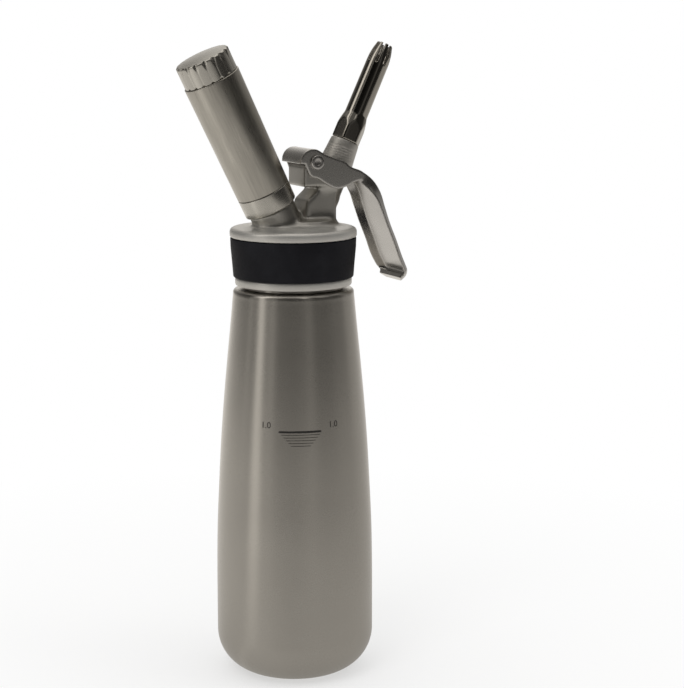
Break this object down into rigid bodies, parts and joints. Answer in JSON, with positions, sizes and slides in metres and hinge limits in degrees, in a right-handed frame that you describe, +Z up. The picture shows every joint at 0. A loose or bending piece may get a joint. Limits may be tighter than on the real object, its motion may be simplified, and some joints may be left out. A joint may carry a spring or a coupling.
{
  "type": "whipped cream dispenser",
  "caption": "Whipped cream dispenser: steel bottle, screw-on head with rubber grip band, squeeze lever, sliding valve with fluted nozzle, and slanted holder for a gas charger.",
  "frame": {"origin": "middle of the bottle's flat base, on the surface that it stands on", "axes": "+Z up the bottle's axis; +X towards the nozzle and the lever's handle, so the charger holder leans towards -X; +Y along the lever's pin, away from its headed end"},
  "size_m": [0.1384, 0.0924, 0.3704],
  "materials": {
    "satin_steel": "satin",
    "cast_metal": "polished casting",
    "chrome": "bright",
    "bright_steel": "turned",
    "black_silicone": "matte",
    "white_seal": "matte",
    "red_seal": "matte",
    "brass": "turned",
    "spring_steel": "drawn wire",
    "charger_steel": "zinc plated"
  },
  "bodies": {
    "bottle": {"bottle": "satin_steel", "bottle_neck": "satin_steel"},
    "head": {"head": "cast_metal", "grip_band": "black_silicone", "head_gasket": "red_seal", "inlet_plug": "brass", "check_sleeve": "red_seal", "piercing_pin": "bright_steel", "charger_seal": "white_seal", "gland_nut": "brass", "pivot_pin": "bright_steel", "pin_clip": "bright_steel", "valve_spring": "spring_steel"},
    "lever": {"lever": "cast_metal"},
    "valve": {"valve_stem": "bright_steel", "valve_seal": "red_seal", "stem_ring": "red_seal", "nozzle_adaptor": "satin_steel", "tip_seal": "white_seal"},
    "tip": {"nozzle_tip": "chrome"},
    "holder": {"holder_base_ring": "satin_steel", "holder_tube": "satin_steel", "holder_cap": "satin_steel", "gas_charger": "charger_steel"}
  },
  "joints": [
    {"name": "head_turn", "type": "hinge", "parent": "bottle", "child": "head", "pos_m": [0, 0, 0.2423], "axis": [0, 0, 1], "range_deg": [0, 720]},
    {"name": "lever_squeeze", "type": "hinge", "parent": "head", "child": "lever", "pos_m": [0.009, 0, 0.3024], "axis": [0, 1, 0], "range_deg": [0, 10], "stiffness_Nm_per_rad": 4, "springref_deg": -2.86},
    {"name": "valve_stroke", "type": "slide", "parent": "head", "child": "valve", "axis": [-0.4242, 0, -0.9056], "range_m": [0, 0.0032], "deforming": ["valve_spring"]},
    {"name": "tip_turn", "type": "hinge", "parent": "valve", "child": "tip", "pos_m": [0.03347, 0, 0.31285], "axis": [0.4242, 0, 0.9056], "range_deg": [0, 720]},
    {"name": "holder_turn", "type": "hinge", "parent": "head", "child": "holder", "pos_m": [-0.01403, 0, 0.27636], "axis": [-0.4384, 0, 0.8988], "range_deg": [0, 1080]}
  ],
  "couplings": [
    {"joint": "valve_stroke", "follows": "lever_squeeze", "m_per_rad": 0.01796}
  ]
}
